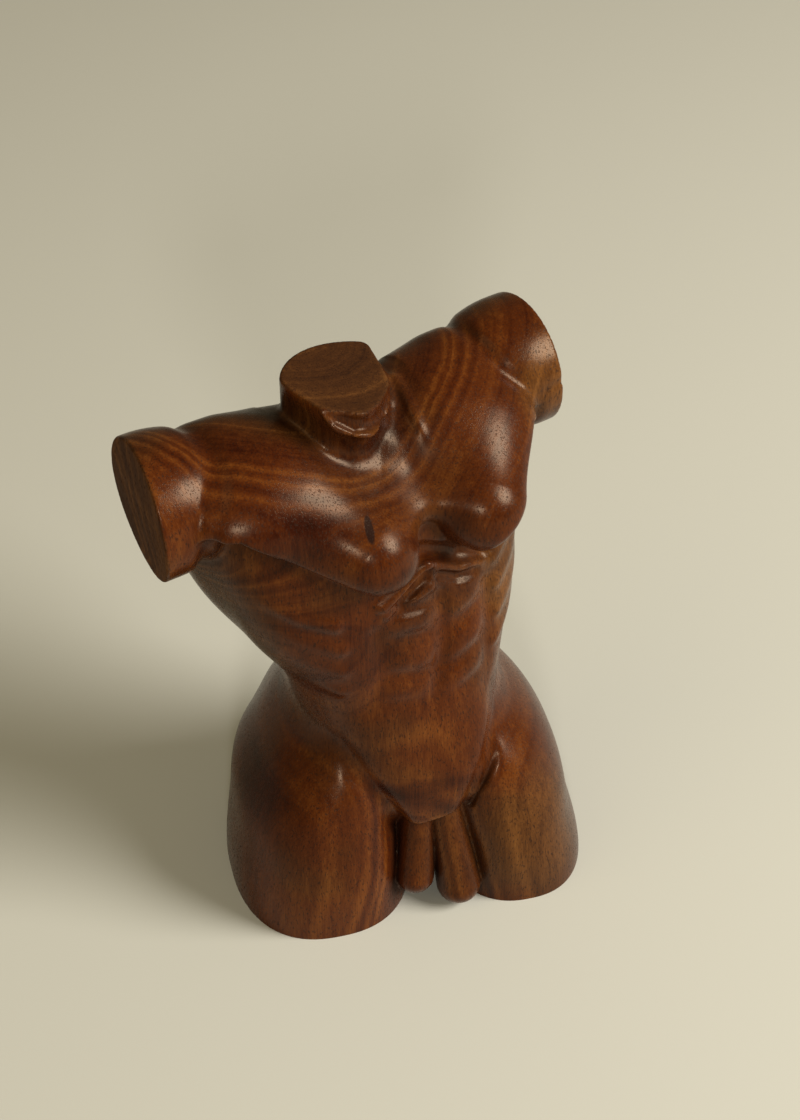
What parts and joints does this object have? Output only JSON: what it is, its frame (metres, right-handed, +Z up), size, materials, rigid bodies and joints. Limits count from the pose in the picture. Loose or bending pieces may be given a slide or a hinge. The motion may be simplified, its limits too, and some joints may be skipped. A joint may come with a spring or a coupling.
{
  "type": "torso sculpture",
  "caption": "Carved dark wood male torso, headless and armless, with flat cuts at the neck, arm stubs and thighs, which it stands on.",
  "frame": {"origin": "centre of the part's box, on the floor that the cut thighs stand on", "axes": "+Z up through the figure, -Y the way its hips face, +X to its own left"},
  "size_m": [0.1806, 0.1142, 0.2499],
  "materials": {
    "oiled_wood": "oiled, satin"
  },
  "bodies": {
    "root": {"torso": "oiled_wood"}
  },
  "joints": []
}
